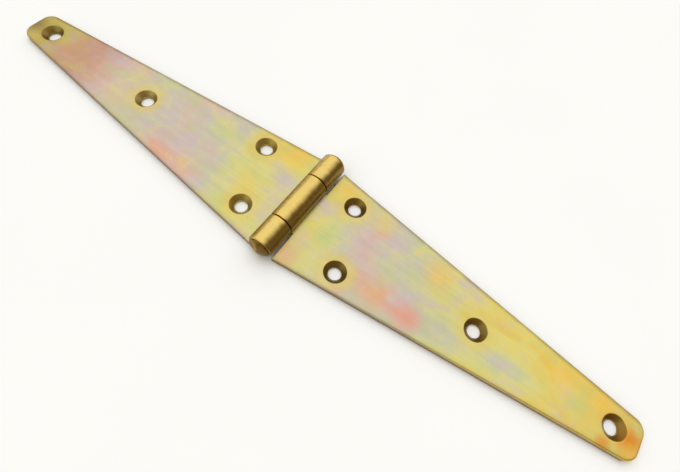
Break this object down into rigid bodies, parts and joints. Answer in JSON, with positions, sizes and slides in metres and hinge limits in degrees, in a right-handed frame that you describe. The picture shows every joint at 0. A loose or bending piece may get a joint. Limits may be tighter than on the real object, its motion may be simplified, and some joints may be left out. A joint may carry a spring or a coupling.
{
  "type": "strap hinge",
  "caption": "Strap hinge with long tapered leaves, countersunk screw holes and a rolled barrel on a riveted pin.",
  "frame": {"origin": "on the back plane of the two open leaves, straight below the middle of the pin", "axes": "+X along the straps towards the leaf with the centre knuckle, +Y along the pin, +Z out of the front, the side of the barrel and the countersinks"},
  "size_m": [0.3048, 0.0536, 0.0106],
  "materials": {
    "leaf_steel": "rolled steel sheet with an iridescent yellow zinc finish",
    "pin_steel": "steel wire with the same yellow zinc finish, riveted over at the ends"
  },
  "bodies": {
    "outer_leaf": {"outer_knuckle_leaf": "leaf_steel", "hinge_pin": "pin_steel"},
    "centre_leaf": {"centre_knuckle_leaf": "leaf_steel"}
  },
  "joints": [
    {"name": "leaf_swing", "type": "hinge", "parent": "outer_leaf", "child": "centre_leaf", "pos_m": [0, 0, 0.0053], "axis": [0, -1, 0], "range_deg": [-90, 180]}
  ]
}
